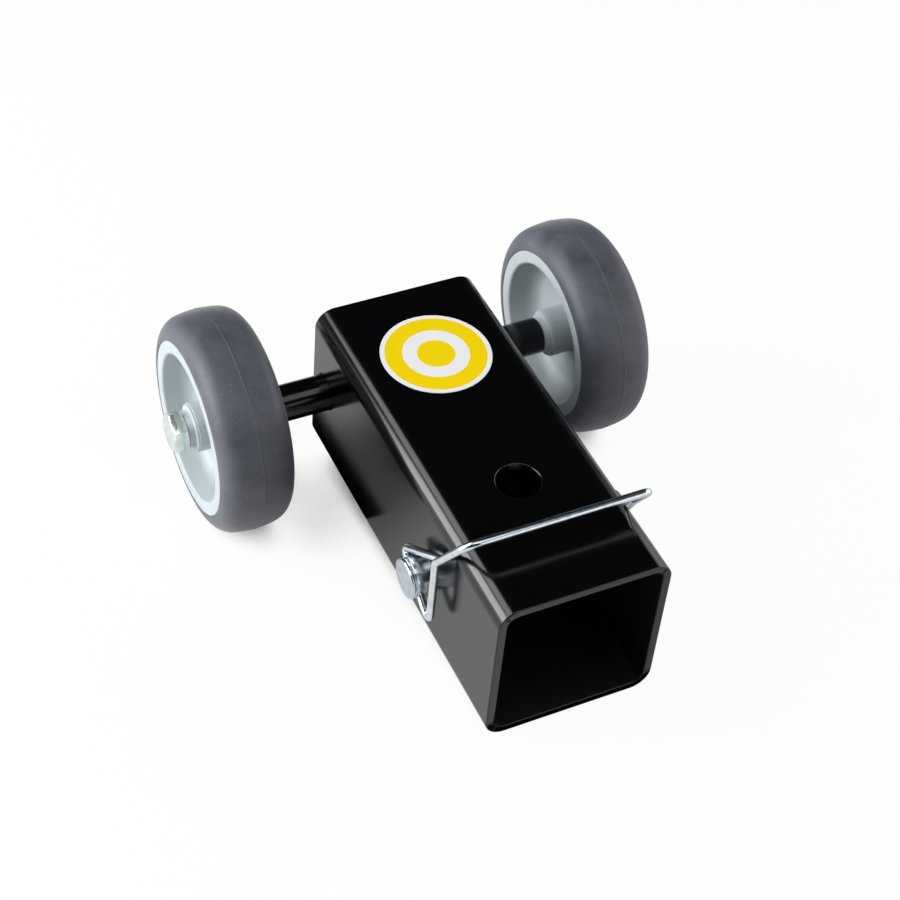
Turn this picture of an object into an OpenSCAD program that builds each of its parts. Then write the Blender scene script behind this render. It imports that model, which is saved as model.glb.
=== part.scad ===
// Two-wheeled dolly that carries the end of a hitch-mounted bike rack.
// The rack's square shank slides into the open tube and a lock pin holds it.
// Frame: origin at the centre of the tube's open mouth, +Y along the tube to
// the wheels, +X to the right seen from the mouth, +Z up. All sizes in mm.

/* [Receiver tube] */
// Outside width and height of the square tube
tube_w = 60; // [56:0.5:70]
// Wall thickness of the tube
tube_wall = 3; // [2:0.25:4]
// Outside corner radius of the tube
tube_corner_r = 7; // [5:0.5:9]
// Length of the tube
tube_len = 145; // [142:1:220]
// Break on the sawn edges at both ends
end_break = 0.4; // [0.2:0.1:0.8]
// Width of the rack shank that the tube receives
shank_w = 50.8; // [48:0.1:51]

/* [Lock pin] */
// Pin diameter
pin_d = 14; // [12:0.5:16]
// Distance of the pin holes from the mouth
pin_station = 48.6; // [40:0.2:60]
// Radial clearance between pin and holes
pin_gap = 0.4; // [0.3:0.05:0.8]
// How far the pin stands out of the left wall
head_out = 8; // [7.5:0.1:10]
// Thickness of the disc at the outer end of the pin
head_disc = 1.1; // [0.8:0.1:1.6]
// Width of the groove behind that disc
neck_w = 0.8; // [0.6:0.1:1]
// Depth of the groove behind that disc
neck_deep = 0.7; // [0.4:0.1:1]
// Diameter of the turned-down nose
nose_d = 8; // [7:0.25:9]
// Edge break on the pin ends
pin_break = 0.6; // [0.3:0.1:0.9]

/* [Wire bail] */
// Wire diameter
wire_d = 2.7; // [2:0.1:3]
// Centre of the wire eye from the left wall
pivot_out = 4.5; // [4.4:0.05:5]
// Lean of the bail towards the mouth
bail_lean = 33; // [20:1:40]
// Height of the cross wire over the pin axis
bail_reach = 48; // [45:0.5:56]
// Eye corner behind the pin
eye_rear = 10.3; // [10.3:0.1:14]
// Eye corner in front of the pin
eye_front = 16; // [12:0.2:18]
// Height of the eye's closed end over the pin axis
eye_height = 25; // [22:0.5:30]
// Inside gap between the far leg and the right wall
leg_gap = 1.15; // [0.9:0.05:2]
// Gap between the left arm's top bend and the left wall's plane
arm_in = 1.6; // [0:0.2:3]
// Bend radius of the wire on its centre line
bend_r = 3.2; // [2.5:0.1:4]
// Bend radius where the left arm turns over the tube
arm_bend_r = 6; // [4:0.5:7]
// Bend radius at the eye's three corners
eye_bend_r = 2.1; // [2:0.05:2.2]
// Inside radius of the curl that goes round the nose
curl_in_r = 5.2; // [5:0.1:6]
// Part of a turn that the curl makes
curl_turn = 305; // [270:5:315]
// Radial clearance of the wire in the pin's cross hole
pivot_gap = 0.1; // [0.05:0.01:0.1]
// Free space between the opening bail and the tube's corner
swing_gap = 1; // [0.8:0.1:1.5]

/* [Axle bar] */
// Diameter of the bar that carries the wheels
bar_d = 13; // [12.5:0.5:16]
// Distance of the bar from the tube's back end
bar_inset = 10.5; // [10.5:0.5:20]
// Height of the bar over the tube's centre line
bar_rise = 1.5; // [-5:0.5:8]
// Radial clearance of the bar in the tube walls
bar_gap = 0.1; // [0.05:0.05:0.2]
// Leg length of the weld round the bar
weld_leg = 3; // [2:0.5:4]

/* [Wheels] */
// Wheel diameter
wheel_d = 78; // [74:1:110]
// Width of the tyre and rim
tyre_w = 26; // [25:0.5:32]
// Clear space between tube wall and wheel
wheel_space = 24.3; // [18:0.5:40]
// Radius of the tyre's shoulders
shoulder_r = 7.5; // [6:0.5:8]
// How much the tread rises from shoulder to centre
tread_crown = 0.56; // [0.3:0.02:1]
// Outside diameter of the rim's white face
rim_d = 61.6; // [58:0.2:62]
// Inside diameter of the rim's white face
dish_d = 52.2; // [48:0.2:54]
// How much each side of the dish narrows towards the web
dish_draft = 1.5; // [0.5:0.25:2.5]
// Thickness of the web between the two dishes
web_t = 5; // [4:0.5:8]
// Outside diameter of the boss
boss_d = 17.2; // [16.4:0.2:20]
// How far the boss ends lie inside the rim faces
boss_in = 1.6; // [1.2:0.1:2.4]
// Fillet between web and rim
rim_fillet = 5; // [3:0.5:6]
// Fillet between web and boss
boss_fillet = 1.5; // [1:0.25:2]
// Width of the key that locks the tyre on the rim
key_w = 10; // [8:0.5:12]
// Depth of that key
key_deep = 1.8; // [1:0.2:2.2]

/* [Bearing] */
// Outside diameter of the steel sleeve
sleeve_d = 11; // [10.5:0.5:11.5]
// Wall of the nylon bushes
bush_wall = 0.8; // [0.6:0.1:1]
// Length of a bush in the boss
bush_len = 9; // [6:0.5:11]
// Flange diameter of the bushes
flange_d = 16.4; // [15.6:0.2:16.8]
// Flange thickness of the bushes
flange_t = 0.8; // [0.6:0.1:1.2]
// How far the bushes' thrust collars stand out of the flanges
collar_out = 2.1; // [1.5:0.1:2.5]
// Running clearance between bush and sleeve
run_gap = 0.08; // [0.04:0.01:0.1]
// End play of the wheel at each side
end_play = 0.15; // [0.1:0.05:0.4]
// Clearance of pieces that seat without moving
seat_gap = 0.02; // [0.01:0.01:0.05]

/* [Bolts] */
// Thread diameter of the wheel bolts
bolt_d = 8; // [7:0.5:8]
// Length of the bolts under the head
bolt_len = 45; // [40:1:52]
// Width across flats of the bolt head
hex_af = 13; // [12:0.5:14]
// Height of the bolt head with its washer face
hex_h = 5.3; // [4.5:0.1:6]
// Height of the round washer face under the head
hex_face = 0.4; // [0.2:0.1:0.6]
// Turn of the bolt heads, with a corner straight up at 0
hex_turn = 51; // [0:1:59]
// Radial clearance of the bolt in the sleeve
bolt_gap = 0.2; // [0.1:0.05:0.3]

/* [Label] */
// Diameter of the round label
label_d = 38; // [30:1:42]
// Centre of the label from the tube's back end
label_inset = 33.6; // [30:0.2:60]
// Label thickness
label_t = 0.2; // [0.15:0.05:0.3]

/* [Hidden] */
$fn = 64;

// Past a face that a cut has to leave clean
cut = 1;
tube_h = tube_w / 2;
bore_h = tube_h - tube_wall;
bar_station = tube_len - bar_inset;
label_station = tube_len - label_inset;

// The shank rests on the tube's floor, so its pin hole is under the centre line
pin_z = shank_w / 2 - bore_h;
pin_r = pin_d / 2;
head_x = -tube_h - head_out;
pivot_x = -tube_h - pivot_out;
wire_r = wire_d / 2;

// The far corner of the tube in the plane of the bail, s being the distance
// across that plane: the opening bail has to pass it
corner_turn = 60;
corner_x = tube_h - tube_corner_r * (1 - sin(corner_turn));
corner_z = tube_h - tube_corner_r * (1 - cos(corner_turn));
function corner_high(s) = (corner_z - pin_z - s * sin(bail_lean)) / cos(bail_lean);
function corner_far(s) = norm([corner_x - pivot_x, corner_high(s)]);
curl_r = curl_in_r + wire_r;
curl_x = pivot_x + corner_far(-curl_r) + wire_r + swing_gap;
leg_x = tube_h + leg_gap + wire_r;
knee_z = corner_high(0) + 1;
leg_slope = atan2(curl_x - leg_x, knee_z);
leg_down = [sin(leg_slope), 0, -cos(leg_slope)];
across = [0, 1, 0];
neck_drop = sqrt(curl_r * curl_r + 2 * curl_r * bend_r);
neck_sweep = atan2(neck_drop, bend_r);
curl_mid = [curl_x, 0, 0];
neck_top = curl_mid - leg_down * neck_drop;

// The nose ends just inside the sweep of the curl's lowest point
curl_low = curl_mid + leg_down * curl_r;
curl_sweep = norm([curl_low[0] - pivot_x, curl_low[2]]) - wire_r;
nose_x = pivot_x - swing_gap + sqrt(pow(curl_sweep, 2) - pow(nose_d / 2, 2));
nose_len = curl_low[0] - curl_mid[0] + 2 * wire_d;
taper_x = tube_h + leg_gap;

// The left arm, and the wire's own end that closes the eye behind it
arm_x = pivot_x;
tail_x = arm_x + wire_d + 0.05;
top_x = -tube_h - arm_in;

// Wire thins a little where it is bent
bend_thin = 0.02;
bend_lap = 0.2;

wheel_r = wheel_d / 2;
wheel_x = tube_h + wheel_space + tyre_w / 2;
rim_r = rim_d / 2;
dish_r = dish_d / 2;
boss_r = boss_d / 2;
boss_h = tyre_w / 2 - boss_in;
sleeve_r = sleeve_d / 2;
bush_in_r = sleeve_r + run_gap;
hub_bore_r = bush_in_r + bush_wall + seat_gap;
sleeve_h = boss_h + flange_t + collar_out + end_play;
bar_end = wheel_x - sleeve_h;
bar_r = bar_d / 2;
head_in = wheel_x + sleeve_h;
thread_gap = 0.05;
tap_over = 3;

// A solid turned about the X axis from an outline of [x, radius]
module turned() { rotate([90, 0, 90]) rotate_extrude() rotate(90) mirror([0, 1]) children(); }

// A box from x0 to x1 and from r0 to r1 in such an outline
module band(x0, x1, r0, r1) { translate([x0, r0]) square([x1 - x0, r1 - r0]); }

// A round bar along X
module round_x(x0, x1, r) { translate([x0, 0, 0]) rotate([0, 90, 0]) cylinder(h = x1 - x0, r = r); }

// Receiver tube

module round_square(w, r) {
    square([w, w - 2 * r], center = true);
    square([w - 2 * r, w], center = true);
    for (x = [-1, 1], z = [-1, 1]) translate([x, z] * (w / 2 - r)) circle(r);
}

module tube_ring() {
    difference() {
        round_square(tube_w, tube_corner_r);
        round_square(tube_w - 2 * tube_wall, tube_corner_r - tube_wall);
    }
}

module receiver_tube() {
    color([0.03, 0.03, 0.035]) difference() {
        union() {
            translate([0, tube_len - end_break, 0]) rotate([90, 0, 0])
                linear_extrude(tube_len - 2 * end_break) tube_ring();
            for (y = [end_break, tube_len]) translate([0, y, 0]) rotate([90, 0, 0])
                linear_extrude(end_break) difference() {
                    round_square(tube_w - 2 * end_break, tube_corner_r - end_break);
                    round_square(tube_w - 2 * (tube_wall - end_break),
                        tube_corner_r - tube_wall + end_break);
                }
        }
        translate([0, pin_station, pin_z]) round_x(-tube_w, tube_w, pin_r + pin_gap);
        translate([0, pin_station, -tube_w]) cylinder(h = 2 * tube_w, r = pin_r + pin_gap);
        translate([0, bar_station, bar_rise]) round_x(-tube_w, tube_w, bar_r + bar_gap);
    }
}

module label_disc() {
    color([0.95, 0.82, 0.05]) translate([0, label_station, tube_h]) cylinder(h = label_t, d = label_d);
}

// Axle bar, tapped at both ends, and the weld beads inside the tube

module at_axle() { translate([0, bar_station, bar_rise]) children(); }

module axle_bar() {
    tap_end = head_in - bolt_len - tap_over;
    color([0.04, 0.04, 0.045]) at_axle() turned() difference() {
        union() {
            band(-bar_end + end_break, bar_end - end_break, 0, bar_r);
            band(-bar_end, bar_end, 0, bar_r - end_break);
        }
        for (s = [0, 1]) mirror([s, 0]) band(tap_end, bar_end + cut, -cut, bolt_d / 2 + thread_gap);
    }
}

module weld_bead(side) {
    color([0.05, 0.05, 0.055]) at_axle() mirror([side < 0 ? 1 : 0, 0, 0]) turned() difference() {
        band(bore_h - weld_leg, bore_h - seat_gap, bar_r + seat_gap, bar_r + weld_leg);
        translate([bore_h - weld_leg, bar_r + weld_leg]) circle(weld_leg * 0.8);
    }
}
module weld_left() { weld_bead(-1); }
module weld_right() { weld_bead(1); }

// Wheels. Each is drawn about its own middle and then put on the axle.

module at_wheel(side) {
    at_axle() translate([side * wheel_x, 0, 0]) mirror([side < 0 ? 1 : 0, 0, 0]) children();
}

module tyre_outline() {
    side_x = tyre_w / 2;
    mid_x = side_x - shoulder_r;
    mid_r = wheel_r - tread_crown - shoulder_r;
    // Centre of the crown's arc, which runs into both shoulders without a corner
    rise = tread_crown;
    crown_mid = mid_r - (mid_x * mid_x - rise * rise) / (2 * rise);
    crown_r = wheel_r - crown_mid;
    crown_turn = atan2(mid_x, mid_r - crown_mid);
    reach = 2 * crown_r;
    difference() {
        union() {
            for (s = [-1, 1]) translate([s * mid_x, mid_r]) circle(shoulder_r);
            intersection() {
                translate([0, crown_mid]) circle(crown_r);
                translate([0, crown_mid]) polygon([[0, 0],
                    [reach * sin(crown_turn), reach * cos(crown_turn)],
                    [-reach * sin(crown_turn), reach * cos(crown_turn)]]);
                band(-mid_x, mid_x, mid_r, wheel_r + cut);
            }
            band(-side_x, side_x, rim_r, mid_r);
            band(-mid_x, mid_x, rim_r, mid_r + shoulder_r / 2);
        }
        band(-tyre_w, tyre_w, 0, rim_r);
    }
    band(-key_w / 2, key_w / 2, rim_r - key_deep, rim_r + cut);
}

// One dish, from web and boss to the drafted inside of the rim
module dish_outline() {
    web_x = web_t / 2;
    face_x = tyre_w / 2;
    draft = atan2(dish_draft, face_x);
    mid_x = web_x + rim_fillet;
    mid_r = dish_r - (face_x - mid_x) * tan(draft) - rim_fillet / cos(draft);
    wall_at = [mid_x, mid_r] + rim_fillet * [-sin(draft), cos(draft)];
    foot_x = web_x + boss_fillet;
    foot_r = boss_r + boss_fillet;
    polygon([
        [boss_h, -cut], [boss_h, boss_r], [foot_x, boss_r], [web_x, foot_r], [web_x, mid_r],
        wall_at, [face_x + cut, dish_r + cut * tan(draft)], [face_x + cut, -cut]]);
    translate([foot_x, foot_r]) circle(boss_fillet);
    translate([mid_x, mid_r]) circle(rim_fillet);
}

module hub_outline() {
    difference() {
        band(-tyre_w / 2, tyre_w / 2, hub_bore_r, rim_r);
        band(-key_w / 2, key_w / 2, rim_r - key_deep, rim_r + cut);
        for (s = [0, 1]) mirror([s, 0]) dish_outline();
    }
}

module bush_outline() {
    band(boss_h - bush_len, boss_h + flange_t + collar_out, bush_in_r, hub_bore_r - seat_gap);
    band(boss_h + seat_gap, boss_h + flange_t, bush_in_r, flange_d / 2);
}

module tyre(side) { color([0.32, 0.33, 0.36]) at_wheel(side) turned() tyre_outline(); }
module hub(side) { color([0.72, 0.76, 0.79]) at_wheel(side) turned() hub_outline(); }
module bush(side, end) {
    color([0.86, 0.88, 0.88]) at_wheel(side) mirror([end < 0 ? 1 : 0, 0, 0]) turned() bush_outline();
}
module tyre_left() { tyre(-1); }
module tyre_right() { tyre(1); }
module hub_left() { hub(-1); }
module hub_right() { hub(1); }
module bush_inner_left() { bush(-1, -1); }
module bush_inner_right() { bush(1, -1); }
module bush_outer_left() { bush(-1, 1); }
module bush_outer_right() { bush(1, 1); }

// The sleeve is clamped between bar and bolt head, and the wheel turns on it

module sleeve(side) {
    color([0.75, 0.76, 0.78]) at_wheel(side) turned()
        band(-sleeve_h, sleeve_h, bolt_d / 2 + bolt_gap, sleeve_r);
}
module sleeve_left() { sleeve(-1); }
module sleeve_right() { sleeve(1); }

module bolt(side) {
    point = 1;
    corner_r = hex_af / 2 / cos(30);
    // Flat part of the chamfered head, and where the chamfer meets the corners
    flat_r = hex_af * 0.475;
    drop = (corner_r - flat_r) * tan(30);
    hex_x = head_in + hex_face;
    color([0.78, 0.8, 0.78]) at_axle() mirror([side < 0 ? 1 : 0, 0, 0]) {
        intersection() {
            translate([hex_x, 0, 0]) rotate([hex_turn, 0, 0]) rotate([0, 90, 0])
                cylinder(h = hex_h - hex_face, r = corner_r, $fn = 6);
            turned() difference() {
                band(hex_x, head_in + hex_h, 0, corner_r + cut);
                polygon([[head_in + hex_h, flat_r], [head_in + hex_h + cut, flat_r],
                    [head_in + hex_h + cut, corner_r + 2 * cut],
                    [head_in + hex_h - drop * (1 + cut / (corner_r - flat_r)), corner_r + cut]]);
            }
        }
        turned() polygon([[head_in - bolt_len, 0], [head_in - bolt_len, bolt_d / 2 - point],
            [head_in - bolt_len + point, bolt_d / 2], [head_in, bolt_d / 2], [head_in, flat_r],
            [hex_x + cut, flat_r], [hex_x + cut, 0]]);
    }
}
module bolt_left() { bolt(-1); }
module bolt_right() { bolt(1); }

// Lock pin

module at_pin() { translate([0, pin_station, pin_z]) children(); }
module at_bail() { at_pin() rotate([bail_lean, 0, 0]) children(); }

module pin_outline() {
    nose_r = nose_d / 2;
    groove_x = head_x + head_disc;
    polygon([
        [head_x, 0], [head_x, pin_r - pin_break], [head_x + pin_break, pin_r], [groove_x, pin_r],
        [groove_x, pin_r - neck_deep], [groove_x + neck_w, pin_r - neck_deep],
        [groove_x + neck_w, pin_r], [taper_x, pin_r], [nose_x - nose_len, nose_r],
        [nose_x - pin_break, nose_r], [nose_x, nose_r - pin_break], [nose_x, 0]]);
}

module lock_pin() {
    color([0.78, 0.8, 0.82]) difference() {
        at_pin() turned() pin_outline();
        at_bail() translate([pivot_x, -pin_d, 0]) rotate([-90, 0, 0])
            cylinder(h = 2 * pin_d, r = wire_r + pivot_gap);
    }
}

// Wire bail. One wire: its tail closes a three-cornered eye, runs through the
// pin's cross hole, goes over the tube, and curls round the nose.

function unit(v) = v / norm(v);

// Puts a child's X and Y along two unit vectors that are square to each other
module facing(at, ex, ey) {
    ez = cross(ex, ey);
    multmatrix([[ex[0], ey[0], ez[0], at[0]], [ex[1], ey[1], ez[1], at[1]],
        [ex[2], ey[2], ez[2], at[2]], [0, 0, 0, 1]]) children();
}

module wire_straight(a, b) {
    along = unit(b - a);
    side = unit(cross(along, abs(along[1]) < 0.9 ? [0, 1, 0] : [1, 0, 0]));
    facing(a, side, cross(along, side)) cylinder(h = norm(b - a), r = wire_r);
}

// A bend of the wire: start is the unit vector from the bend's middle to its
// first point and heading the way the wire runs there. A thinned bend runs on
// a little at both ends, inside the pieces that it joins.
module wire_bend(middle, start, heading, r, sweep, thin = bend_thin) {
    lap = thin > 0 ? bend_lap / r * 180 / PI : 0;
    facing(middle, start, heading) rotate([0, 0, -lap])
        rotate_extrude(angle = sweep + 2 * lap) translate([r, 0]) circle(wire_r - thin);
}

function turn_at(p, i) = acos(unit(p[i] - p[i - 1]) * unit(p[i + 1] - p[i]));
function trim_at(p, r, i) = (i == 0 || i == len(p) - 1) ? 0 : r[i] * tan(turn_at(p, i) / 2);

// A wire through the points p, bent at each inner point to the radius in r
module wire_path(p, r) {
    for (i = [0 : len(p) - 2]) {
        ahead = unit(p[i + 1] - p[i]);
        from = p[i] + ahead * trim_at(p, r, i);
        if (i > 0) {
            before = unit(p[i] - p[i - 1]);
            inward = unit(ahead - before * (before * ahead));
            bend_at = p[i] - before * trim_at(p, r, i) + inward * r[i];
            wire_bend(bend_at, -inward, before, r[i], turn_at(p, i));
        }
        wire_straight(from, p[i + 1] - ahead * trim_at(p, r, i + 1));
    }
}

module wire_bail() {
    $fn = 24;
    tail = [tail_x, 0, eye_height];
    rear = [pivot_x, eye_rear, 0];
    front = [pivot_x, -eye_front, 0];
    apex = [arm_x, 0, eye_height];
    top_left = [top_x, 0, bail_reach];
    top_right = [leg_x, 0, bail_reach];
    knee = [leg_x, 0, knee_z];
    color([0.8, 0.83, 0.86]) at_bail() {
        wire_path([tail, rear, front, apex, top_left, top_right, knee, neck_top],
            [0, eye_bend_r, eye_bend_r, eye_bend_r, arm_bend_r, bend_r, bend_r, 0]);
        neck_mid = neck_top + across * bend_r;
        wire_bend(neck_mid, -across, leg_down, bend_r, neck_sweep);
        // The curl starts where the neck's bend touches it
        start = unit(neck_mid - curl_mid);
        heading = unit(leg_down - start * (leg_down * start));
        wire_bend(curl_mid, start, heading, curl_r, curl_turn, 0);
    }
}

receiver_tube();
axle_bar();
weld_left();
weld_right();
label_disc();
sleeve_left();
sleeve_right();
bolt_left();
bolt_right();
tyre_left();
hub_left();
bush_inner_left();
bush_outer_left();
tyre_right();
hub_right();
bush_inner_right();
bush_outer_right();
lock_pin();
wire_bail();
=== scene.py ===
import bpy
import bmesh
import math
from mathutils import Matrix, Vector


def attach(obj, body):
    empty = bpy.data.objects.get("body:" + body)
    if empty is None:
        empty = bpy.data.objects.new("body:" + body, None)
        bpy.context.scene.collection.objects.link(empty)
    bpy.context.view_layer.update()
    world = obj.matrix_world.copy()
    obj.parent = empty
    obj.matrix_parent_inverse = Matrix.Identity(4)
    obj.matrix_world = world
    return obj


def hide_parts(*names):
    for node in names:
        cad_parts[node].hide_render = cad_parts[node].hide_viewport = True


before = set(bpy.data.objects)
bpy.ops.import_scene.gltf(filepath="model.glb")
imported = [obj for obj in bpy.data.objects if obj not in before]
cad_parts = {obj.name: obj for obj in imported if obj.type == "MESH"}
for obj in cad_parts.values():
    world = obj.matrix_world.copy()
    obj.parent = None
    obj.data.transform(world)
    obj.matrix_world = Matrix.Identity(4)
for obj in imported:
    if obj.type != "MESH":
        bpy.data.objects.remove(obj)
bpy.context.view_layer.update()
mm = 0.001
xAxis = Vector((1, 0, 0))
yAxis = Vector((0, 1, 0))


# Sizes in the dictionaries are in mm and angles in degrees. Only the studio's
# are in metres and radians


# Camera

# The view was solved from the tube's edges and the outlines of both wheels
view = {
    "azimuth": -29.04,
    "elevation": 45.52,
    "roll": 5.71,
    "distance": 654.93,
    "target": (-19.69, 59.74, 40.5),
    "lens": 83.44,
    "sensorWidth": 36,
}


def makeCamera(name, sizes):
    azimuth = math.radians(sizes["azimuth"])
    elevation = math.radians(sizes["elevation"])
    level = math.cos(elevation)
    back = Vector((math.sin(azimuth) * level, -math.cos(azimuth) * level, math.sin(elevation)))
    right = (-back).cross(Vector((0, 0, 1))).normalized()
    up = right.cross(-back)
    roll = Matrix.Rotation(math.radians(sizes["roll"]), 3, back)
    right = roll @ right
    up = roll @ up
    place = (Vector(sizes["target"]) + back * sizes["distance"]) * mm
    data = bpy.data.cameras.new(name)
    data.lens = sizes["lens"]
    data.sensor_width = sizes["sensorWidth"]
    data.clip_start = 10 * mm
    camera = bpy.data.objects.new(name, data)
    turn = Matrix((right, up, back)).transposed().to_4x4()
    camera.matrix_world = Matrix.Translation(place) @ turn
    bpy.context.scene.collection.objects.link(camera)
    bpy.context.scene.camera = camera


makeCamera("photoCamera", view)
print("camera made")


# Materials


def hexLinear(text):
    values = [int(text[i:i + 2], 16) / 255 for i in (1, 3, 5)]
    linear = [v / 12.92 if v <= 0.04045 else ((v + 0.055) / 1.055) ** 2.4 for v in values]
    return (*linear, 1.0)


# Adds a node, sets its own properties, sets or links its inputs, and places a
# colour ramp's stops
def addNode(tree, kind, inputs=None, stops=(), **settings):
    node = tree.nodes.new(kind)
    for key, value in settings.items():
        setattr(node, key, value)
    for key, value in (inputs or {}).items():
        if isinstance(value, bpy.types.NodeSocket):
            tree.links.new(value, node.inputs[key])
        else:
            node.inputs[key].default_value = value
    for i, (position, colour) in enumerate(stops):
        node.color_ramp.elements[i].position = position
        node.color_ramp.elements[i].color = hexLinear(colour)
    return node


def startMaterial(name):
    material = bpy.data.materials.new(name)
    material.use_nodes = True
    tree = material.node_tree
    shader = tree.nodes["Principled BSDF"]
    place = addNode(tree, "ShaderNodeTexCoord").outputs["Object"]
    return material, tree, shader, place


# Dust: a round speck in some cells of a pattern whose cells have the given size
# in mm. A speck fades out between core and rim, as parts of its cell. The higher
# bare is, the more cells stay clean, and cover says how strongly the dust shows
def addSpecks(tree, place, cell, core, rim, bare, cover):
    cells = addNode(tree, "ShaderNodeTexVoronoi", {"Vector": place, "Scale": 1 / (cell * mm)})
    dots = addNode(tree, "ShaderNodeValToRGB", {"Fac": cells.outputs["Distance"]},
        stops=((core, "#ffffff"), (rim, "#000000")))
    few = addNode(tree, "ShaderNodeMath", {0: cells.outputs["Color"], 1: bare}, operation="GREATER_THAN")
    specks = addNode(tree, "ShaderNodeMath",
        {0: dots.outputs["Color"], 1: few.outputs[0]}, operation="MULTIPLY")
    faint = addNode(tree, "ShaderNodeMath", {0: specks.outputs[0], 1: cover}, operation="MULTIPLY")
    return faint.outputs[0]


# Gloss black powder coat on steel: deep black, sharp reflections with a faint
# orange peel, and a few specks of dust
def makePowderCoat():
    material, tree, shader, place = startMaterial("glossBlackPowderCoat")
    peel = addNode(tree, "ShaderNodeTexNoise", {"Vector": place, "Scale": 1 / (1.6 * mm), "Detail": 2.0})
    bump = addNode(tree, "ShaderNodeBump",
        {"Height": peel.outputs["Fac"], "Strength": 0.035, "Distance": 0.2 * mm})
    dust = addSpecks(tree, place, cell=3.2, core=0.03, rim=0.06, bare=0.86, cover=0.35)
    colour = addNode(tree, "ShaderNodeMix",
        {"Factor": dust, "A": hexLinear("#030304"), "B": hexLinear("#8a8a8c")}, data_type="RGBA")
    haze = addNode(tree, "ShaderNodeTexNoise", {"Vector": place, "Scale": 1 / (30 * mm), "Detail": 4.0})
    rough = addNode(tree, "ShaderNodeMapRange",
        {"Value": haze.outputs["Fac"], "To Min": 0.13, "To Max": 0.2})
    tree.links.new(bump.outputs["Normal"], shader.inputs["Normal"])
    tree.links.new(colour.outputs["Result"], shader.inputs["Base Color"])
    tree.links.new(rough.outputs["Result"], shader.inputs["Roughness"])
    shader.inputs["IOR"].default_value = 1.5
    return material


# Powder that drifted into the tube's bore: a thin uneven coat, dull and deep black
def makeBoreCoat():
    material, tree, shader, place = startMaterial("dullBoreOverspray")
    drift = addNode(tree, "ShaderNodeTexNoise", {"Vector": place, "Scale": 1 / (9 * mm), "Detail": 4.0})
    tone = addNode(tree, "ShaderNodeValToRGB", {"Fac": drift.outputs["Fac"]},
        stops=((0.3, "#020202"), (0.7, "#070707")))
    grit = addNode(tree, "ShaderNodeTexNoise", {"Vector": place, "Scale": 1 / (0.6 * mm), "Detail": 3.0})
    bump = addNode(tree, "ShaderNodeBump",
        {"Height": grit.outputs["Fac"], "Strength": 0.25, "Distance": 0.1 * mm})
    tree.links.new(bump.outputs["Normal"], shader.inputs["Normal"])
    tree.links.new(tone.outputs["Color"], shader.inputs["Base Color"])
    shader.inputs["Roughness"].default_value = 0.62
    shader.inputs["Specular IOR Level"].default_value = 0.25
    return material


# Thermoplastic rubber, moulded: satin slate grey with a fine grain, slightly
# scuffed and dusty where it has rolled. Grain and dust are drawn coarser than
# the real ones, so that they show
def makeTyreRubber():
    material, tree, shader, place = startMaterial("satinGreyTyreRubber")
    grain = addNode(tree, "ShaderNodeTexNoise", {"Vector": place, "Scale": 1 / (0.7 * mm), "Detail": 3.0})
    bump = addNode(tree, "ShaderNodeBump",
        {"Height": grain.outputs["Fac"], "Strength": 0.12, "Distance": 0.1 * mm})
    cloud = addNode(tree, "ShaderNodeTexNoise", {"Vector": place, "Scale": 1 / (14 * mm), "Detail": 6.0,
        "Roughness": 0.6})
    tone = addNode(tree, "ShaderNodeValToRGB", {"Fac": cloud.outputs["Fac"]},
        stops=((0.35, "#42454d"), (0.7, "#575b64")))
    dust = addSpecks(tree, place, cell=1.0, core=0.06, rim=0.17, bare=0.52, cover=0.55)
    colour = addNode(tree, "ShaderNodeMix",
        {"Factor": dust, "A": tone.outputs["Color"], "B": hexLinear("#a9abb0")}, data_type="RGBA")
    rough = addNode(tree, "ShaderNodeMapRange",
        {"Value": cloud.outputs["Fac"], "To Min": 0.42, "To Max": 0.6})
    tree.links.new(bump.outputs["Normal"], shader.inputs["Normal"])
    tree.links.new(colour.outputs["Result"], shader.inputs["Base Color"])
    tree.links.new(rough.outputs["Result"], shader.inputs["Roughness"])
    shader.inputs["IOR"].default_value = 1.5
    # Fine dust lightens the rubber where it is seen edge on
    shader.inputs["Sheen Weight"].default_value = 0.4
    shader.inputs["Sheen Roughness"].default_value = 0.35
    shader.inputs["Sheen Tint"].default_value = hexLinear("#d6d8dc")
    return material


# Polypropylene, injection moulded: pale blue-grey, satin, a faint mould grain
def makeHubPlastic():
    material, tree, shader, place = startMaterial("paleMouldedPolypropylene")
    grain = addNode(tree, "ShaderNodeTexNoise", {"Vector": place, "Scale": 1 / (0.8 * mm), "Detail": 2.0})
    bump = addNode(tree, "ShaderNodeBump",
        {"Height": grain.outputs["Fac"], "Strength": 0.08, "Distance": 0.1 * mm})
    cloud = addNode(tree, "ShaderNodeTexNoise", {"Vector": place, "Scale": 1 / (12 * mm), "Detail": 3.0})
    tone = addNode(tree, "ShaderNodeValToRGB", {"Fac": cloud.outputs["Fac"]},
        stops=((0.3, "#a9b2b6"), (0.7, "#b2babe")))
    tree.links.new(bump.outputs["Normal"], shader.inputs["Normal"])
    tree.links.new(tone.outputs["Color"], shader.inputs["Base Color"])
    shader.inputs["Roughness"].default_value = 0.4
    shader.inputs["IOR"].default_value = 1.49
    return material


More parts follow.
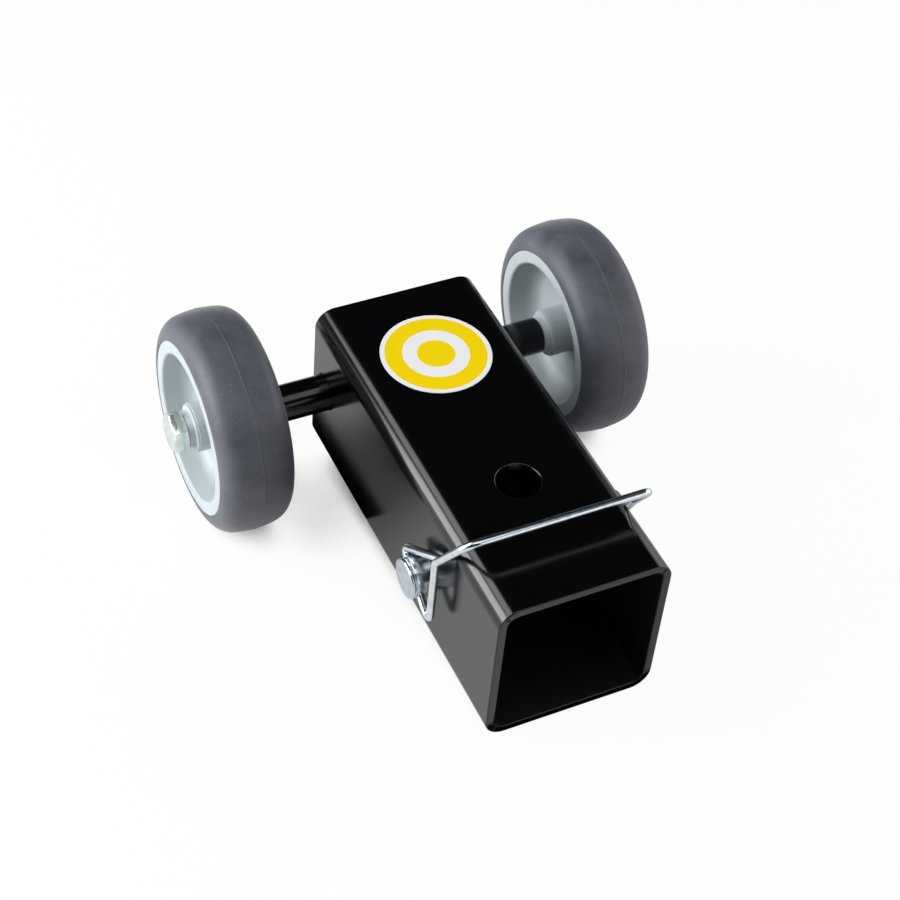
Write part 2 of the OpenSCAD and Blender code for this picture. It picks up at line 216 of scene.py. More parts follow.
# Bright zinc plate on steel: bluish mirror with soft cloudy haze
def makeZincPlate(name="brightZincPlate", pale="#dfe5ea", dark="#b9c3cc", low=0.16, high=0.3):
    material, tree, shader, place = startMaterial(name)
    cloud = addNode(tree, "ShaderNodeTexNoise", {"Vector": place, "Scale": 1 / (2.4 * mm), "Detail": 5.0})
    tone = addNode(tree, "ShaderNodeValToRGB", {"Fac": cloud.outputs["Fac"]},
        stops=((0.3, dark), (0.7, pale)))
    rough = addNode(tree, "ShaderNodeMapRange",
        {"Value": cloud.outputs["Fac"], "To Min": low, "To Max": high})
    grain = addNode(tree, "ShaderNodeTexNoise", {"Vector": place, "Scale": 1 / (0.35 * mm), "Detail": 2.0})
    bump = addNode(tree, "ShaderNodeBump",
        {"Height": grain.outputs["Fac"], "Strength": 0.06, "Distance": 0.05 * mm})
    tree.links.new(tone.outputs["Color"], shader.inputs["Base Color"])
    tree.links.new(rough.outputs["Result"], shader.inputs["Roughness"])
    tree.links.new(bump.outputs["Normal"], shader.inputs["Normal"])
    shader.inputs["Metallic"].default_value = 1.0
    return material


# Turned steel sleeve, bare: fine rings from the lathe
def makeTurnedSteel():
    material, tree, shader, place = startMaterial("bareTurnedSteel")
    rings = addNode(tree, "ShaderNodeTexWave",
        {"Vector": place, "Scale": 1 / (2.512 * mm), "Distortion": 0.6, "Detail": 2.0},
        wave_type="BANDS", bands_direction="X")
    bump = addNode(tree, "ShaderNodeBump",
        {"Height": rings.outputs["Fac"], "Strength": 0.15, "Distance": 0.05 * mm})
    tree.links.new(bump.outputs["Normal"], shader.inputs["Normal"])
    shader.inputs["Base Color"].default_value = hexLinear("#a9adb0")
    shader.inputs["Metallic"].default_value = 1.0
    shader.inputs["Roughness"].default_value = 0.32
    return material


# Nylon, moulded: pale blue-grey like the hub, waxy
def makeNylon():
    material, tree, shader, place = startMaterial("mouldedNylon")
    cloud = addNode(tree, "ShaderNodeTexNoise", {"Vector": place, "Scale": 1 / (4 * mm), "Detail": 3.0})
    tone = addNode(tree, "ShaderNodeValToRGB", {"Fac": cloud.outputs["Fac"]},
        stops=((0.3, "#b3bbc0"), (0.7, "#bec6ca")))
    tree.links.new(tone.outputs["Color"], shader.inputs["Base Color"])
    shader.inputs["Roughness"].default_value = 0.38
    shader.inputs["IOR"].default_value = 1.53
    return material


# Printed vinyl film: clean flat ink under a satin laminate
def makeLabelFilm(name, colour):
    material, tree, shader, place = startMaterial(name)
    ripple = addNode(tree, "ShaderNodeTexNoise", {"Vector": place, "Scale": 1 / (6 * mm), "Detail": 1.0})
    bump = addNode(tree, "ShaderNodeBump",
        {"Height": ripple.outputs["Fac"], "Strength": 0.05, "Distance": 0.1 * mm})
    tree.links.new(bump.outputs["Normal"], shader.inputs["Normal"])
    shader.inputs["Base Color"].default_value = hexLinear(colour)
    shader.inputs["Roughness"].default_value = 0.35
    return material


# Studio paper: it takes light and shadow as paper does, but it is mostly plain
# white to the camera, and a little so in mirrors
def makeStudioPaper():
    material, tree, shader, _ = startMaterial("studioPaper")
    shader.inputs["Base Color"].default_value = hexLinear("#f0f0f0")
    shader.inputs["Roughness"].default_value = 0.9
    path = addNode(tree, "ShaderNodeLightPath").outputs
    direct = addNode(tree, "ShaderNodeMath",
        {0: path["Is Camera Ray"], 1: path["Is Transmission Ray"]}, operation="MAXIMUM")
    seen = addNode(tree, "ShaderNodeMath", {0: direct.outputs[0], 1: 0.95}, operation="MULTIPLY")
    mirrored = addNode(tree, "ShaderNodeMath", {0: path["Is Glossy Ray"], 1: 0.15}, operation="MULTIPLY")
    whiteness = addNode(tree, "ShaderNodeMath",
        {0: seen.outputs[0], 1: mirrored.outputs[0]}, operation="MAXIMUM")
    # Painted shade: where something stands close over the paper, as under the tube, it goes dark
    # ambient occlusion takes the plain white away there, so the paper's own shading shows
    openness = addNode(tree, "ShaderNodeAmbientOcclusion", {"Distance": 80 * mm}, samples=8)
    clear = addNode(tree, "ShaderNodeValToRGB", {"Fac": openness.outputs["AO"]},
        stops=((0.12, "#000000"), (0.28, "#ffffff")))
    share = addNode(tree, "ShaderNodeMath",
        {0: whiteness.outputs[0], 1: clear.outputs["Color"]}, operation="MULTIPLY")
    white = addNode(tree, "ShaderNodeEmission", {"Color": hexLinear("#ffffff"), "Strength": 1.0})
    mixed = addNode(tree, "ShaderNodeMixShader",
        {0: share.outputs[0], 1: shader.outputs["BSDF"], 2: white.outputs["Emission"]})
    tree.links.new(mixed.outputs["Shader"], tree.nodes["Material Output"].inputs["Surface"])
    return material


# Black flock card for a painted shadow: it takes nearly all light
def makePaintedShadowCard():
    material, _, shader, _ = startMaterial("paintedShadowCard")
    shader.inputs["Base Color"].default_value = hexLinear("#0a0a0a")
    shader.inputs["Roughness"].default_value = 1.0
    shader.inputs["Specular IOR Level"].default_value = 0.0
    return material


powderCoat = makePowderCoat()
boreCoat = makeBoreCoat()
tyreRubber = makeTyreRubber()
hubPlastic = makeHubPlastic()
zincPlate = makeZincPlate()
zincWire = makeZincPlate("brightZincWire", "#eaf0f5", "#ccd6df", 0.14, 0.24)
boltZinc = makeZincPlate("passivatedZincBolt", "#eff3ee", "#cfd8d0", 0.18, 0.32)
turnedSteel = makeTurnedSteel()
nylon = makeNylon()
labelYellow = makeLabelFilm("yellowLabelFilm", "#fddd00")
labelWhite = makeLabelFilm("whiteLabelFilm", "#f6f7f7")
print("materials made")


# Mesh helpers

sides = ((-1, "Left"), (1, "Right"))


# Puts a copy of a bmesh into the scene as an object
def addObject(bm, name, materials=()):
    mesh = bpy.data.meshes.new(name)
    bm.to_mesh(mesh)
    for material in materials:
        mesh.materials.append(material)
    added = bpy.data.objects.new(name, mesh)
    bpy.context.scene.collection.objects.link(added)
    return added


# Turns a bmesh into a piece that rides on a body and replaces CAD nodes, shaded
# smooth up to the given angle, or all over where it is 0
def finishPiece(bm, name, body, materials, nodes, sharp):
    piece = addObject(bm, name, materials)
    bm.free()
    piece.data.shade_smooth()
    if sharp:
        piece.data.set_sharp_from_angle(angle=math.radians(sharp))
    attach(piece, body)
    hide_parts(*nodes)
    return piece


# Draws an outline of (x, radius, corner rounding) in mm and spins it about the
# X axis through the given centre
def spinOutline(outline, centre=(0, 0, 0), steps=128, side=1, cornerSteps=5):
    bm = bmesh.new()
    verts = [bm.verts.new((x * mm * side, 0, r * mm)) for x, r, _ in outline]
    for a, b in zip(verts, verts[1:] + verts[:1]):
        bm.edges.new((a, b))
    for vert, (_, _, rounding) in zip(verts, outline):
        if rounding:
            bmesh.ops.bevel(bm, geom=[vert], offset=rounding * mm, offset_type="OFFSET",
                segments=cornerSteps, profile=0.5, affect="VERTICES", material=-1)
    bmesh.ops.spin(bm, geom=bm.verts[:] + bm.edges[:], cent=(0, 0, 0), axis=xAxis,
        angle=2 * math.pi, steps=steps, use_merge=True)
    bmesh.ops.remove_doubles(bm, verts=bm.verts, dist=1e-6)
    bmesh.ops.recalc_face_normals(bm, faces=bm.faces)
    bmesh.ops.translate(bm, verts=bm.verts, vec=Vector(centre) * mm)
    return bm


# Cuts one bmesh from another with an exact boolean
def cutAway(bm, cutter):
    body = addObject(bm, "cutting")
    tool = addObject(cutter, "cutting")
    cutter.free()
    modifier = body.modifiers.new("cut", "BOOLEAN")
    modifier.operation = "DIFFERENCE"
    modifier.object = tool
    modifier.solver = "EXACT"
    shaped = body.evaluated_get(bpy.context.evaluated_depsgraph_get())
    bm.clear()
    bm.from_mesh(shaped.to_mesh())
    bpy.data.objects.remove(body)
    bpy.data.objects.remove(tool)
    bmesh.ops.remove_doubles(bm, verts=bm.verts, dist=1e-7)


# Adds a closed cylinder between two points
def addRod(bm, start, end, radius, segments=64):
    start = Vector(start) * mm
    end = Vector(end) * mm
    turn = (end - start).to_track_quat("Z", "Y").to_matrix().to_4x4()
    bmesh.ops.create_cone(bm, cap_ends=True, segments=segments, radius1=radius * mm,
        radius2=radius * mm, depth=(end - start).length,
        matrix=Matrix.Translation((start + end) / 2) @ turn)


# Receiver tube

tube = {
    "width": 60,
    "wall": 3,
    "cornerRadius": 7,
    "length": 145,
    "cornerSteps": 14,
    "endBreak": 0.5,
    "boreSlack": 0.1,
    "holeRadius": 7.4,
    "holeY": 48.6,
    "holeZ": -1.6,
    "barRadius": 6.6,
    "barY": 134.5,
    "barZ": 1.5,
}


# Draws a square with round corners in the plane of the mouth
def addSquare(bm, width, radius, steps):
    half = width / 2 * mm
    verts = [bm.verts.new((x * half, 0, z * half)) for x, z in ((-1, -1), (1, -1), (1, 1), (-1, 1))]
    for a, b in zip(verts, verts[1:] + verts[:1]):
        bm.edges.new((a, b))
    for vert in verts:
        bmesh.ops.bevel(bm, geom=[vert], offset=radius * mm, offset_type="OFFSET", segments=steps,
            profile=0.5, affect="VERTICES", material=-1)


def makeTube(sizes):
    bm = bmesh.new()
    for inset in (0, sizes["wall"]):
        addSquare(bm, sizes["width"] - 2 * inset, sizes["cornerRadius"] - inset, sizes["cornerSteps"])
    bmesh.ops.bridge_loops(bm, edges=bm.edges[:])
    grown = bmesh.ops.extrude_face_region(bm, geom=bm.faces[:])
    bmesh.ops.translate(bm, verts=[v for v in grown["geom"] if isinstance(v, bmesh.types.BMVert)],
        vec=(0, sizes["length"] * mm, 0))
    bmesh.ops.recalc_face_normals(bm, faces=bm.faces)
    cutter = bmesh.new()
    reach = sizes["width"]
    y, z, r = sizes["holeY"], sizes["holeZ"], sizes["holeRadius"]
    addRod(cutter, (-reach, y, z), (reach, y, z), r)
    addRod(cutter, (-reach, sizes["barY"], sizes["barZ"]), (reach, sizes["barY"], sizes["barZ"]),
        sizes["barRadius"])
    cutAway(bm, cutter)
    cutter = bmesh.new()
    addRod(cutter, (0, y, -reach), (0, y, reach), r)
    cutAway(bm, cutter)
    # The coat rounds every sawn and drilled edge
    sharp = [e for e in bm.edges if len(e.link_faces) == 2 and e.calc_face_angle() > math.radians(40)]
    bmesh.ops.bevel(bm, geom=sharp, offset=sizes["endBreak"] * mm, offset_type="OFFSET", segments=4,
        profile=0.5, affect="EDGES", material=-1)
    # Faces on or in the bore take the dull coat
    boreHalf = (sizes["width"] / 2 - sizes["wall"] + sizes["boreSlack"]) * mm
    for face in bm.faces:
        middle = face.calc_center_median()
        if max(abs(middle.x), abs(middle.z)) < boreHalf:
            face.material_index = 1
    piece = finishPiece(bm, "receiverTubeCoated", "frame", [powderCoat, boreCoat], ["receiver_tube"],
        0)
    # Flat walls stay flat beside the rounded edges
    weighted = piece.modifiers.new("flatWalls", "WEIGHTED_NORMAL")
    weighted.weight = 100


makeTube(tube)
print("tube made")


# Axle bar with its weld beads

bar = {
    "radius": 6.5,
    "halfLength": 52.85,
    "rounding": 0.6,
    "weldLeg": 3,
    "weldX": 27,
    "ripples": 26,
    "rippleHeight": 0.22,
    "calmAtBar": 0.2,
    "calmAtWall": 0.05,
}


def makeBar(sizes):
    outline = [
        (-sizes["halfLength"], 0, 0),
        (-sizes["halfLength"], sizes["radius"], sizes["rounding"]),
        (sizes["halfLength"], sizes["radius"], sizes["rounding"]),
        (sizes["halfLength"], 0, 0),
    ]
    bm = spinOutline(outline, (0, tube["barY"], tube["barZ"]), steps=96)
    finishPiece(bm, "axleBarCoated", "frame", [powderCoat], ["axle_bar"], 32)


def makeWeld(sizes, side, name):
    leg = sizes["weldLeg"]
    x = sizes["weldX"]
    r = sizes["radius"]
    outline = [
        (x - leg, r, 0),
        (x - leg * 0.75, r + leg * 0.25, 0.3),
        (x - leg * 0.25, r + leg * 0.75, 0.3),
        (x, r + leg, 0),
        (x, r, 0),
    ]
    bm = spinOutline(outline, steps=160, side=side)
    # The bead ripples, once for each dab of the torch, but not where it meets
    # the bar and the wall
    for v in bm.verts:
        turn = math.atan2(v.co.y, v.co.z)
        outward = Vector((0, v.co.y, v.co.z)).normalized()
        offBar = v.co.yz.length > (r + sizes["calmAtBar"]) * mm
        offWall = abs(v.co.x) < (x - sizes["calmAtWall"]) * mm
        if offBar and offWall:
            v.co += outward * sizes["rippleHeight"] * mm * math.sin(turn * sizes["ripples"])
    bmesh.ops.translate(bm, verts=bm.verts, vec=Vector((0, tube["barY"], tube["barZ"])) * mm)
    finishPiece(bm, "weldBead" + name, "frame", [powderCoat], ["weld_" + name.lower()], 60)


makeBar(bar)
for side, name in sides:
    makeWeld(bar, side, name)
print("axle bar made")


# Wheels

wheel = {
    "radius": 39,
    "width": 26,
    "x": 67.3,
    "shoulder": 7.5,
    "shoulderSteps": 14,
    "crown": 0.56,
    "crownSteps": 9,
    "flashHalf": 0.22,
    "flashHeight": 0.1,
    "lipWidth": 0.5,
    "lipHeight": 0.6,
    "rimRadius": 30.8,
    "dishRadius": 26.1,
    "dishDraft": 1.5,
    "web": 5,
    "bossRadius": 8.6,
    "bossIn": 1.6,
    "rimFillet": 5,
    "bossFillet": 1.5,
    "keyWidth": 10,
    "keyDepth": 1.8,
    "boreRadius": 6.4,
}


# Crown and shoulders of the tyre, from the middle of the tread outwards
def treadPoints(sizes):
    half = sizes["width"] / 2
    midX = half - sizes["shoulder"]
    midR = sizes["radius"] - sizes["crown"] - sizes["shoulder"]
    crownMid = midR - (midX ** 2 - sizes["crown"] ** 2) / (2 * sizes["crown"])
    crownR = sizes["radius"] - crownMid
    turn = math.atan2(midX, midR - crownMid)
    points = []
    for i in range(sizes["crownSteps"]):
        a = turn * i / sizes["crownSteps"]
        points.append((crownR * math.sin(a), crownMid + crownR * math.cos(a)))
    for i in range(sizes["shoulderSteps"] + 1):
        a = turn + (math.pi / 2 - turn) * i / sizes["shoulderSteps"]
        points.append((midX + sizes["shoulder"] * math.sin(a), midR + sizes["shoulder"] * math.cos(a)))
    return points


def makeTyre(sizes, side, name):
    half = sizes["width"] / 2
    keyHalf = sizes["keyWidth"] / 2
    rimR = sizes["rimRadius"]
    tread = treadPoints(sizes)
    topR = tread[0][1]
    # A thin flash line stands on the tread's middle, where the mould parts
    flash = sizes["flashHeight"]
    chain = [(sizes["flashHalf"], topR - flash, 0)] + [(x, r - flash, 0) for x, r in tread[1:]]
    chain += [
        (half, rimR + sizes["lipHeight"], 0.3),
        (half - sizes["lipWidth"], rimR, 0.1),
        (keyHalf, rimR, 0),
        (keyHalf, rimR - sizes["keyDepth"], 0.3),
    ]
    outline = [(0, topR, 0)] + chain + [(-x, r, f) for x, r, f in reversed(chain)]
    bm = spinOutline(outline, (sizes["x"] * side, tube["barY"], tube["barZ"]), steps=192)
    low = name.lower()
    finishPiece(bm, "tyre" + name, low + "_wheel", [tyreRubber], ["tyre_" + low], 40)


def makeHub(sizes, side, name):
    half = sizes["width"] / 2
    web = sizes["web"] / 2
    bossX = half - sizes["bossIn"]
    slope = sizes["dishDraft"] / half
    rootR = sizes["dishRadius"] - slope * (half - web)
    chain = [
        (sizes["keyWidth"] / 2, sizes["rimRadius"] - sizes["keyDepth"], 0),
        (sizes["keyWidth"] / 2, sizes["rimRadius"], 0),
        (half, sizes["rimRadius"], 0.35),
        (half, sizes["dishRadius"], 0.8),
        (web, rootR, sizes["rimFillet"]),
        (web, sizes["bossRadius"], sizes["bossFillet"]),
        (bossX, sizes["bossRadius"], 0.3),
        (bossX, sizes["boreRadius"], 0.2),
    ]
    outline = chain + [(-x, r, f) for x, r, f in reversed(chain)]
    bm = spinOutline(outline, (sizes["x"] * side, tube["barY"], tube["barZ"]), steps=192, cornerSteps=8)
    low = name.lower()
    finishPiece(bm, "hub" + name, low + "_wheel", [hubPlastic], ["hub_" + low], 40)


bearing = {
    "bushIn": 5.58,
    "bushOut": 6.38,
    "bushLength": 9,
    "flangeRadius": 8.2,
    "flange": 0.8,
    "flangeGap": 0.02,
    "collarOut": 2.1,
    "sleeveRadius": 5.5,
    "sleeveHalf": 14.45,
    "boltHole": 4.2,
}


def makeBearing(sizes, side, name):
    low = name.lower()
    middle = (wheel["x"] * side, tube["barY"], tube["barZ"])
    bossX = wheel["width"] / 2 - wheel["bossIn"]
    insideX = bossX - sizes["bushLength"]
    flangeX = bossX + sizes["flange"]
    collarX = flangeX + sizes["collarOut"]
    outline = [
        (insideX, sizes["bushIn"], 0.15),
        (insideX, sizes["bushOut"], 0.25),
        (bossX + sizes["flangeGap"], sizes["bushOut"], 0),
        (bossX + sizes["flangeGap"], sizes["flangeRadius"], 0.15),
        (flangeX, sizes["flangeRadius"], 0.35),
        (flangeX, sizes["bushOut"], 0.2),
        (collarX, sizes["bushOut"], 0.25),
        (collarX, sizes["bushIn"], 0.15),
    ]
    for end, word in ((1, "Outer"), (-1, "Inner")):
        bm = spinOutline(outline, middle, steps=96, side=side * end, cornerSteps=3)
        finishPiece(bm, "bush" + word + name, low + "_wheel", [nylon],
            ["bush_" + word.lower() + "_" + low], 40)
    half = sizes["sleeveHalf"]
    outline = [
        (-half, sizes["boltHole"], 0),
        (-half, sizes["sleeveRadius"], 0.25),
        (half, sizes["sleeveRadius"], 0.25),
        (half, sizes["boltHole"], 0),
    ]
    bm = spinOutline(outline, middle, steps=96, cornerSteps=3)
    finishPiece(bm, "sleeve" + name, "frame", [turnedSteel], ["sleeve_" + low], 40)


bolt = {
    "headX": 81.75,
    "flats": 13,
    "headHeight": 5.3,
    "face": 0.4,
    "faceRadius": 6.175,
    "faceInset": 0.5,
    "chamfer": 30,
    "turn": 81,
    "rounding": 0.18,
    "shankRadius": 4,
    "length": 45,
    "tip": 1,
}


# The head is a hexagon whose outer corners are turned off, then rounded, on a
# round washer face
def makeBolt(sizes, side, name):
    start = sizes["headX"]
    end = start + sizes["headHeight"]
    hexStart = start + sizes["face"]
    corner = sizes["flats"] / 2 / math.cos(math.pi / 6)
    bm = bmesh.new()
    turn = Matrix.Rotation(math.radians(sizes["turn"]), 4, "X") @ Matrix.Rotation(math.pi / 2, 4, "Y")
    bmesh.ops.create_cone(bm, cap_ends=True, segments=6, radius1=corner * mm, radius2=corner * mm,
        depth=(end - hexStart) * mm, matrix=Matrix.Translation(((hexStart + end) / 2 * mm, 0, 0)) @ turn)
    # The cutting tool starts at the face's edge and ends well clear of the head
    faceR = sizes["faceRadius"]
    clearR = corner + 1
    drop = (clearR - faceR) * math.tan(math.radians(sizes["chamfer"]))
    tool = spinOutline([(end + 2, faceR, 0), (end, faceR, 0), (end - drop, clearR, 0),
        (end - drop, clearR + 2, 0), (end + 2, clearR + 2, 0)], steps=96)
    cutAway(bm, tool)
    sharp = [e for e in bm.edges if len(e.link_faces) == 2 and e.calc_face_angle() > math.radians(18)]
    bmesh.ops.bevel(bm, geom=sharp, offset=sizes["rounding"] * mm, offset_type="OFFSET", segments=2,
        profile=0.5, affect="EDGES", material=-1)
    # Shank and washer face are one, with the face let a little into the head
    tipX = start - sizes["length"]
    tip = sizes["tip"]
    r = sizes["shankRadius"]
    inX = hexStart + sizes["faceInset"]
    shank = spinOutline([(tipX, 0, 0), (tipX, r - tip, 0), (tipX + tip, r, 0), (start, r, 0),
        (start, faceR, 0), (inX, faceR, 0), (inX, 0, 0)], steps=64)
    mesh = bpy.data.meshes.new("shank")
    shank.to_mesh(mesh)
    shank.free()
    bm.from_mesh(mesh)
    bmesh.ops.scale(bm, verts=bm.verts, vec=(side, 1, 1))
    bmesh.ops.recalc_face_normals(bm, faces=bm.faces)
    bmesh.ops.translate(bm, verts=bm.verts, vec=Vector((0, tube["barY"], tube["barZ"])) * mm)
    finishPiece(bm, "bolt" + name, "frame", [boltZinc], ["bolt_" + name.lower()], 24)


for side, name in sides:
    makeTyre(wheel, side, name)
    makeHub(wheel, side, name)
    makeBearing(bearing, side, name)
    makeBolt(bolt, side, name)
print("wheels made")


# Lock pin

pin = {
    "radius": 7,
    "headX": -38,
    "headDisc": 1.1,
    "neckWidth": 0.8,
    "neckDepth": 0.7,
    "taperX": 31.15,
    "noseRadius": 4,
    "noseX": 41.25,
    "noseLength": 7.1,
    "wireHoleX": -34.5,
    "wireHoleRadius": 1.45,
    "lean": 33,
}


def moveToPin(bm):
    bmesh.ops.translate(bm, verts=bm.verts, vec=Vector((0, tube["holeY"], tube["holeZ"])) * mm)


def makePin(sizes):
    r = sizes["radius"]
    groove = sizes["headX"] + sizes["headDisc"]
    neckR = r - sizes["neckDepth"]
    outline = [
        (sizes["headX"], 0, 0),
        (sizes["headX"], r, 0.55),
        (groove, r, 0.2),
        (groove, neckR, 0.1),
        (groove + sizes["neckWidth"], neckR, 0.1),
        (groove + sizes["neckWidth"], r, 0.2),
        (sizes["taperX"], r, 0.4),
        (sizes["noseX"] - sizes["noseLength"], sizes["noseRadius"], 0.6),
        (sizes["noseX"], sizes["noseRadius"], 0.6),
        (sizes["noseX"], 0, 0),
    ]
    bm = spinOutline(outline, steps=128, cornerSteps=4)
    a = math.radians(sizes["lean"])
    through = Vector((0, math.cos(a), math.sin(a))) * 2 * r
    start = Vector((sizes["wireHoleX"], 0, 0))
    cutter = bmesh.new()
    addRod(cutter, start - through, start + through, sizes["wireHoleRadius"], 32)
    cutAway(bm, cutter)
    moveToPin(bm)
    finishPiece(bm, "lockPinTurned", "pin", [zincPlate], ["lock_pin"], 35)


makePin(pin)
print("pin made")


# Wire bail

bail = {
    "wireRadius": 1.35,
    "reach": 48,
    "eyeRear": 10.3,
    "eyeFront": 16,
    "eyeHeight": 25,
    "topLeftX": -31.6,
    "legX": 32.5,
    "kneeZ": 34.505,
    "bendRadius": 3.2,
    "armBendRadius": 6,
    "eyeBendRadius": 2.1,
    "curlX": 41.782,
    "curlRadius": 6.55,
    "curlTurn": 305,
    "tailOffset": 2.75,
    "endRounding": 0.3,
}


# Adds the points of an arc that starts at middle + start * radius and sets off
# along heading, one for every 6 degrees of its turn
def addArc(points, middle, start, heading, radius, turn):
    count = max(3, math.ceil(turn / 6))
    for i in range(count + 1):
        a = math.radians(turn) * i / count
        points.append(middle + radius * (start * math.cos(a) + heading * math.sin(a)))


# The middle line of the wire, from its tail round the eye, over the tube and
# down to the curl, with the pin's middle at the origin and the bail upright
def bailRoute(sizes):
    pivot = pin["wireHoleX"]
    slope = math.atan2(sizes["curlX"] - sizes["legX"], sizes["kneeZ"])
    legDown = Vector((math.sin(slope), 0, -math.cos(slope)))
    curlMid = Vector((sizes["curlX"], 0, 0))
    curlR = sizes["curlRadius"]
    bend = sizes["bendRadius"]
    neckTop = curlMid - legDown * math.sqrt(curlR ** 2 + 2 * curlR * bend)
    corners = [
        (Vector((pivot + sizes["tailOffset"], 0, sizes["eyeHeight"])), 0),
        (Vector((pivot, sizes["eyeRear"], 0)), sizes["eyeBendRadius"]),
        (Vector((pivot, -sizes["eyeFront"], 0)), sizes["eyeBendRadius"]),
        (Vector((pivot, 0, sizes["eyeHeight"])), sizes["eyeBendRadius"]),
        (Vector((sizes["topLeftX"], 0, sizes["reach"])), sizes["armBendRadius"]),
        (Vector((sizes["legX"], 0, sizes["reach"])), bend),
        (Vector((sizes["legX"], 0, sizes["kneeZ"])), bend),
        (neckTop, 0),
    ]
    points = [corners[0][0]]
    for i in range(1, len(corners) - 1):
        before = (corners[i][0] - corners[i - 1][0]).normalized()
        after = (corners[i + 1][0] - corners[i][0]).normalized()
        turn = before.angle(after)
        inward = (after - before * before.dot(after)).normalized()
        radius = corners[i][1]
        begin = corners[i][0] - before * radius * math.tan(turn / 2)
        addArc(points, begin + inward * radius, -inward, before, radius, math.degrees(turn))
    # The neck turns the wire out of the leg, and the curl goes round the nose
    neckMid = neckTop + yAxis * bend
    sweep = math.degrees(math.atan2(math.sqrt(curlR ** 2 + 2 * curlR * bend), bend))
    addArc(points, neckMid, -yAxis, legDown, bend, sweep)
    start = (neckMid - curlMid).normalized()
    heading = (legDown - start * start.dot(legDown)).normalized()
    curl = []
    addArc(curl, curlMid, start, heading, curlR, sizes["curlTurn"])
    return points + curl[1:]


def makeBail(sizes):
    points = [p * mm for p in bailRoute(sizes)]
    bm = bmesh.new()
    # A ring of the wire's section is carried along the route
    along = (points[1] - points[0]).normalized()
    turn = along.to_track_quat("Z", "Y").to_matrix().to_4x4()
    bmesh.ops.create_circle(bm, cap_ends=False, segments=20, radius=sizes["wireRadius"] * mm,
        matrix=Matrix.Translation(points[0]) @ turn)
    firstRing = bm.edges[:]
    ring = firstRing
    for i in range(1, len(points)):
        grown = bmesh.ops.extrude_edge_only(bm, edges=ring)
        verts = [v for v in grown["geom"] if isinstance(v, bmesh.types.BMVert)]
        ring = [e for e in grown["geom"] if isinstance(e, bmesh.types.BMEdge)]
        bmesh.ops.translate(bm, verts=verts, vec=points[i] - points[i - 1])
        nextAlong = (points[i] - points[i - 1]).normalized()
        if i < len(points) - 1:
            nextAlong = (nextAlong + (points[i + 1] - points[i]).normalized()).normalized()
        swing = along.rotation_difference(nextAlong).to_matrix()
        bmesh.ops.rotate(bm, verts=verts, cent=points[i], matrix=swing)
        along = nextAlong
    bmesh.ops.contextual_create(bm, geom=firstRing)
    bmesh.ops.contextual_create(bm, geom=ring)
    bmesh.ops.recalc_face_normals(bm, faces=bm.faces)
    caps = [e for e in bm.edges if e.calc_face_angle(0) > math.radians(60)]
    bmesh.ops.bevel(bm, geom=caps, offset=sizes["endRounding"] * mm, offset_type="OFFSET", segments=3,
        profile=0.5, affect="EDGES", material=-1)
    bmesh.ops.rotate(bm, verts=bm.verts, cent=(0, 0, 0),
        matrix=Matrix.Rotation(math.radians(pin["lean"]), 3, "X"))
    moveToPin(bm)
    finishPiece(bm, "wireBailBent", "bail", [zincWire], ["wire_bail"], 45)


makeBail(bail)
print("bail made")


# Label

label = {
    "radius": 19,
    "y": 111.4,
    "thickness": 0.2,
    "border": 1.6,
    "ringOut": 11.5,
    "ringIn": 6.5,
}


def makeLabel(sizes):
    bm = bmesh.new()
    bmesh.ops.create_circle(bm, cap_ends=True, segments=128, radius=sizes["radius"] * mm)
    bm.faces.ensure_lookup_table()
    face = bm.faces[0]
    radii = [sizes["radius"] - sizes["border"], sizes["ringOut"], sizes["ringIn"]]
    last = sizes["radius"]
    # White border, yellow field, white ring, yellow middle
    for ink, radius in zip((1, 0, 1), radii):
        band = bmesh.ops.inset_region(bm, faces=[face], thickness=(last - radius) * mm,
            use_boundary=True, use_even_offset=True)
        for f in band["faces"]:
            f.material_index = ink
        last = radius
    rim = [e for e in bm.edges if e.is_boundary]
    bm.normal_update()
    if face.normal.z < 0:
        bmesh.ops.reverse_faces(bm, faces=bm.faces)
    skirt = bmesh.ops.extrude_edge_only(bm, edges=rim)
    low = [v for v in skirt["geom"] if isinstance(v, bmesh.types.BMVert)]
    bmesh.ops.translate(bm, verts=low, vec=(0, 0, -sizes["thickness"] * mm))
    bmesh.ops.contextual_create(bm, geom=[e for e in bm.edges if e.is_boundary])
    bmesh.ops.recalc_face_normals(bm, faces=bm.faces)
    bmesh.ops.translate(bm, verts=bm.verts,
        vec=Vector((0, sizes["y"], tube["width"] / 2 + sizes["thickness"])) * mm)
    finishPiece(bm, "labelRings", "frame", [labelYellow, labelWhite], ["label_disc"], 30)


makeLabel(label)
print("label made")


# Studio

# The dolly stands on its wheels and on the mouth's lower edge, so in the
# tube's own frame the floor is tilted by this angle
def floorTilt(wheelRadius, wheelY, wheelZ, tubeHalf):
    reach = math.hypot(wheelY, wheelZ + tubeHalf)
    return math.asin(wheelRadius / reach) - math.atan2(wheelZ + tubeHalf, wheelY)


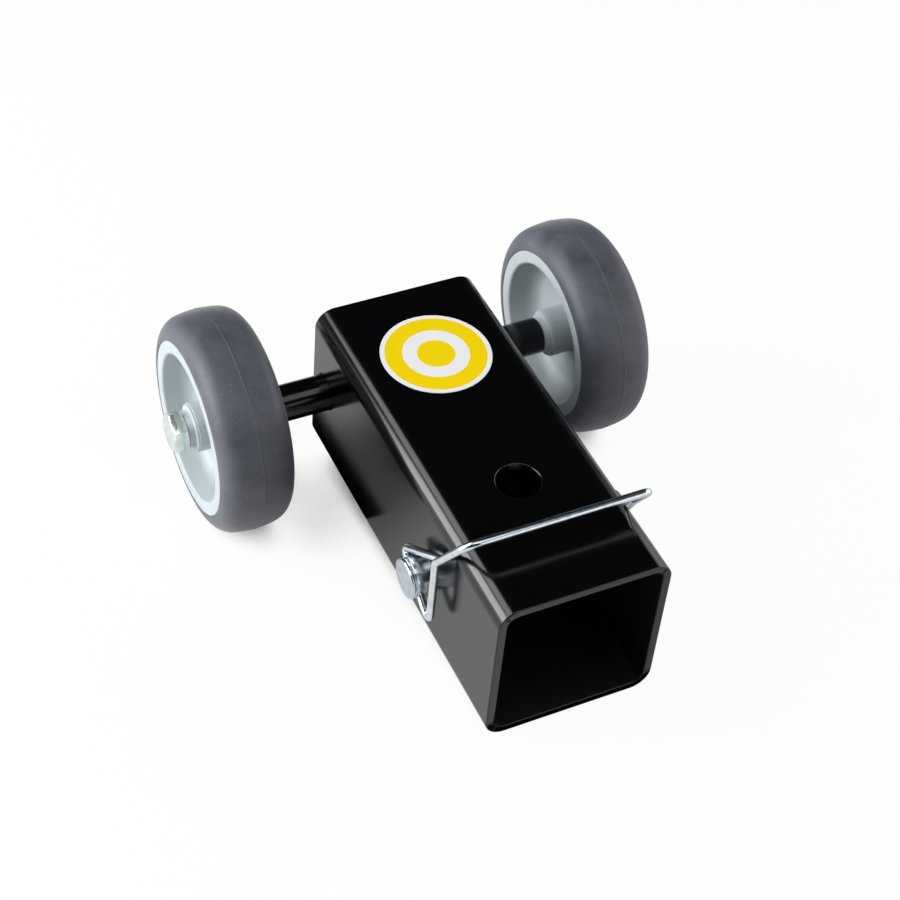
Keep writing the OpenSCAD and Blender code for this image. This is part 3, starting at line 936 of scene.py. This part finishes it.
studio = {
    "tilt": floorTilt(wheel["radius"], tube["barY"], tube["barZ"], tube["width"] / 2),
    "floorSize": 6.0,
    "floorHeight": (-tube["width"] / 2 - 0.05) * mm,
    "worldLevel": 0.03,
    "worldColour": (0.9, 0.95, 1.0, 1),
    "aim": (0, 0.06, 0),
    # name, place, width, height and power in watts
    "panels": [
        ("leftKey", (-0.97, 0.38, 0.28), 0.86, 0.56, 13),
        ("leftUpper", (-0.68, 0.47, 0.78), 1.0, 0.42, 5),
        ("topSoft", (0.1, -0.5, 1.4), 0.8, 0.8, 3.2),
        ("topLeft", (-0.42, -0.1, 1.4), 0.7, 0.7, 2.4),
        ("frontFill", (0.95, -0.8, 0.46), 2.2, 0.9, 7),
        ("rightFill", (1.25, 0.15, 0.42), 1.4, 0.8, 6.5),
    ],
    # Painted shadow cards: x from, x to, y from and y to; their height is the one at y = 0
    "cards": [(-0.042, 0.052, 0.105, 0.2), (-0.029, 0.033, -0.004, -0.0001)],
    "shadowCardHeight": (-tube["width"] / 2 + 0.03) * mm,
}


def makeFloor(sizes):
    bm = bmesh.new()
    bmesh.ops.create_grid(bm, x_segments=8, y_segments=8, size=sizes["floorSize"] / 2)
    bmesh.ops.rotate(bm, verts=bm.verts, cent=(0, 0, 0), matrix=Matrix.Rotation(-sizes["tilt"], 3, "X"))
    bmesh.ops.translate(bm, verts=bm.verts, vec=(0, 0, sizes["floorHeight"]))
    floor = addObject(bm, "studioFloor", [makeStudioPaper()])
    bm.free()


# Black cards under the axle and before the mouth, which only mirrors show, are a
# painted shadow: they keep the gloss coat's reflection of the floor dark there
def makePaintedShadowCards(sizes):
    fall = math.tan(sizes["tilt"])
    bm = bmesh.new()
    for left, right, front, back in sizes["cards"]:
        corners = ((left, front), (right, front), (right, back), (left, back))
        bm.faces.new([bm.verts.new((x, y, sizes["shadowCardHeight"] - y * fall)) for x, y in corners])
    cards = addObject(bm, "paintedShadowCards", [makePaintedShadowCard()])
    bm.free()
    cards.visible_camera = False
    cards.visible_diffuse = False
    cards.visible_shadow = False


def addPanel(name, place, width, height, power, aim):
    light = bpy.data.lights.new(name, "AREA")
    light.shape = "RECTANGLE"
    light.size = width
    light.size_y = height
    light.energy = power
    lamp = bpy.data.objects.new(name, light)
    lamp.location = place
    lamp.rotation_euler = (Vector(aim) - Vector(place)).to_track_quat("-Z", "Y").to_euler()
    bpy.context.scene.collection.objects.link(lamp)


def makeWorld(sizes):
    world = bpy.data.worlds.new("studioWorld")
    world.use_nodes = True
    bpy.context.scene.world = world
    background = world.node_tree.nodes["Background"]
    background.inputs["Color"].default_value = sizes["worldColour"]
    background.inputs["Strength"].default_value = sizes["worldLevel"]


makeFloor(studio)
makePaintedShadowCards(studio)
for panel in studio["panels"]:
    addPanel(*panel, studio["aim"])
makeWorld(studio)
bpy.context.scene.view_settings.view_transform = "Standard"
print("studio made")
